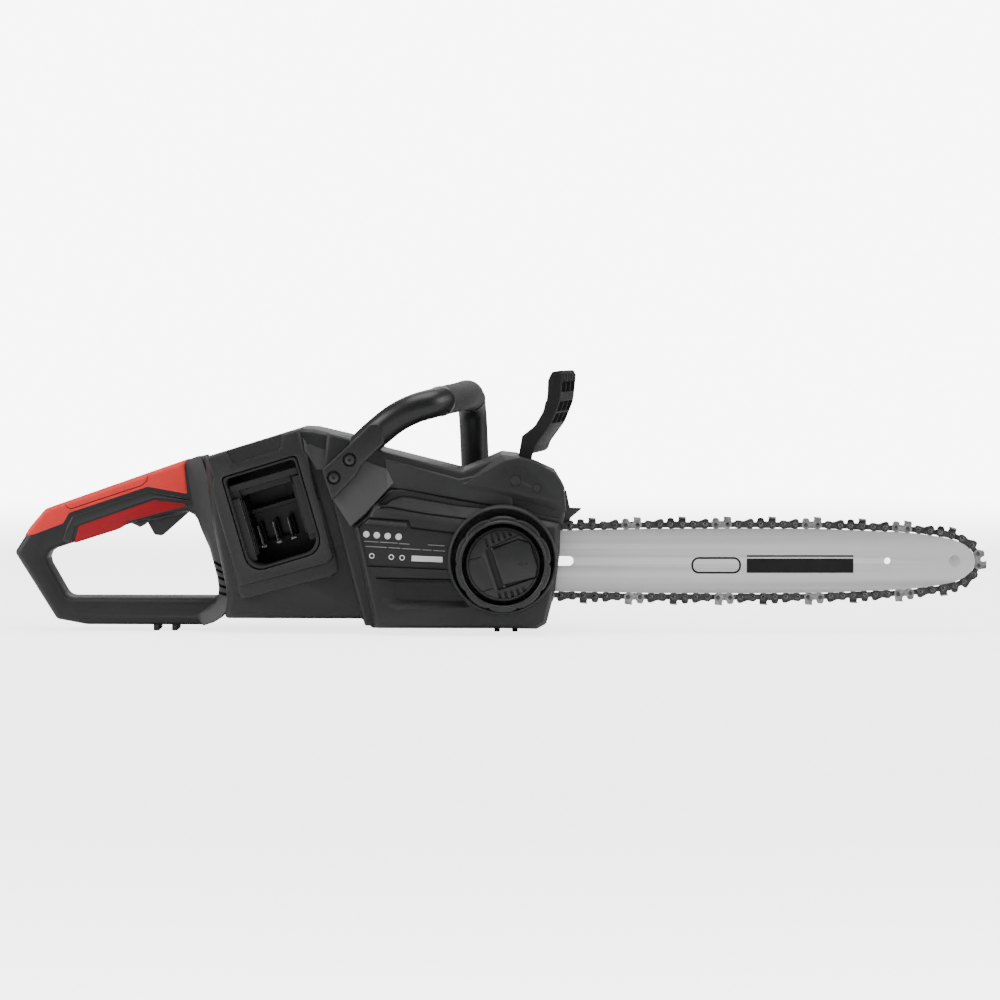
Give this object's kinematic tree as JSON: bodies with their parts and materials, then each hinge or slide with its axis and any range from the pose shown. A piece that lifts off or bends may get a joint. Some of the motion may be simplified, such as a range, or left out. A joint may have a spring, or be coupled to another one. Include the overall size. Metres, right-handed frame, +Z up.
{
  "type": "battery chainsaw",
  "caption": "Cordless chainsaw with a side battery bay, sprung trigger, swinging hand guard, tool-free chain tension ring and a guide bar carrying a chain loop.",
  "frame": {"origin": "centre of the bounding box's footprint, at the feet", "axes": "+X towards the bar's tip, +Y to the saw's left side away from the sprocket cover, +Z up"},
  "size_m": [0.8228, 0.176, 0.2222],
  "materials": {
    "case_plastic": "fine-textured black moulded nylon",
    "red_grip": "soft red overmould",
    "rubber": "matt black rubber",
    "dark_plastic": "smooth black plastic",
    "bar_steel": "ground steel",
    "chain_steel": "blued steel",
    "black_steel": "black oxide steel",
    "terminal_brass": "plated contact blades",
    "motor_metal": "steel laminations",
    "board": "coated circuit board",
    "tank_plastic": "natural polyethylene"
  },
  "bodies": {
    "saw": {"housing_right": "case_plastic", "housing_left": "case_plastic", "sprocket_cover": "case_plastic", "front_handle": "case_plastic", "grip_top": "red_grip", "grip_lower": "red_grip", "front_handle_grip": "rubber", "front_foot": "rubber", "rear_foot": "rubber", "oil_pipe": "rubber", "battery_tray": "dark_plastic", "terminal_block": "dark_plastic", "switch_module": "dark_plastic", "brake_switch": "dark_plastic", "oil_pump": "dark_plastic", "shaft_bearing": "bar_steel", "spike_bumper": "black_steel", "chain_catcher": "black_steel", "guard_pin": "black_steel", "trigger_pin": "black_steel", "bar_stud": "black_steel", "handle_screw_1": "black_steel", "handle_screw_2": "black_steel", "handle_screw_3": "black_steel", "handle_screw_4": "black_steel", "housing_screw_1": "black_steel", "housing_screw_2": "black_steel", "housing_screw_3": "black_steel", "housing_screw_4": "black_steel", "trigger_spring": "black_steel", "terminal_blade_1": "terminal_brass", "terminal_blade_2": "terminal_brass", "terminal_blade_3": "terminal_brass", "motor_stator": "motor_metal", "controller_board": "board", "oil_tank": "tank_plastic"},
    "bar": {"guide_bar": "bar_steel", "chain_near_links": "chain_steel", "chain_drive_links": "chain_steel", "chain_far_links": "chain_steel", "tension_slider": "black_steel"},
    "trigger": {"trigger": "dark_plastic"},
    "lock_button": {"lock_button": "dark_plastic"},
    "hand_guard": {"hand_guard": "case_plastic"},
    "sprocket": {"drive_sprocket": "black_steel", "drive_shaft": "bar_steel", "drive_gear": "bar_steel"},
    "rotor": {"motor_rotor": "motor_metal", "motor_pinion": "bar_steel", "cooling_fan": "dark_plastic"},
    "nose": {"nose_sprocket": "bar_steel"},
    "ring": {"tension_ring": "dark_plastic"},
    "knob": {"clamp_knob": "dark_plastic", "knob_nut": "black_steel", "tab_pin": "black_steel"},
    "tab": {"knob_tab": "dark_plastic"},
    "oil_cap": {"oil_cap": "dark_plastic"}
  },
  "joints": [
    {"name": "trigger_pull", "type": "hinge", "parent": "saw", "child": "trigger", "pos_m": [-0.26907, -0.01051, 0.109], "axis": [0, 1, 0], "range_deg": [0, 8], "stiffness_Nm_per_rad": 0.8, "springref_deg": -3.44, "deforming": ["trigger_spring"]},
    {"name": "lock_button_press", "type": "slide", "parent": "saw", "child": "lock_button", "axis": [0, -1, 0], "range_m": [0, 0.002], "stiffness_N_per_m": 600, "springref_m": -0.001},
    {"name": "guard_swing", "type": "hinge", "parent": "saw", "child": "hand_guard", "pos_m": [0.01693, -0.01051, 0.1165], "axis": [0, 1, 0], "range_deg": [0, 25]},
    {"name": "sprocket_spin", "type": "hinge", "parent": "saw", "child": "sprocket", "pos_m": [-0.04597, -0.01051, 0.0611], "axis": [0, 1, 0], "continuous": true},
    {"name": "rotor_spin", "type": "hinge", "parent": "saw", "child": "rotor", "pos_m": [-0.04597, -0.01051, 0.0986], "axis": [0, 1, 0], "continuous": true},
    {"name": "bar_tension", "type": "slide", "parent": "saw", "child": "bar", "axis": [1, 0, 0], "range_m": [0, 0.0015]},
    {"name": "nose_spin", "type": "hinge", "parent": "bar", "child": "nose", "pos_m": [0.38753, -0.04351, 0.0612], "axis": [0, 1, 0], "continuous": true},
    {"name": "ring_turn", "type": "hinge", "parent": "saw", "child": "ring", "pos_m": [0.00493, -0.07051, 0.0611], "axis": [0, 1, 0], "range_deg": [0, 90]},
    {"name": "knob_turn", "type": "hinge", "parent": "saw", "child": "knob", "pos_m": [0.00493, -0.07051, 0.0611], "axis": [0, -1, 0], "range_deg": [0, 720]},
    {"name": "tab_flip", "type": "hinge", "parent": "knob", "child": "tab", "pos_m": [0.00078, -0.08251, 0.05855], "axis": [0.3162, 0, -0.9487], "range_deg": [0, 90]},
    {"name": "oil_cap_turn", "type": "hinge", "parent": "saw", "child": "oil_cap", "pos_m": [0.02293, 0.03949, 0.0355], "axis": [0, 1, 0], "continuous": true}
  ],
  "couplings": [
    {"joint": "rotor_spin", "follows": "sprocket_spin", "ratio": -4},
    {"joint": "nose_spin", "follows": "sprocket_spin", "ratio": 0.85714},
    {"joint": "ring_turn", "follows": "bar_tension", "rad_per_m": 1047.2}
  ]
}
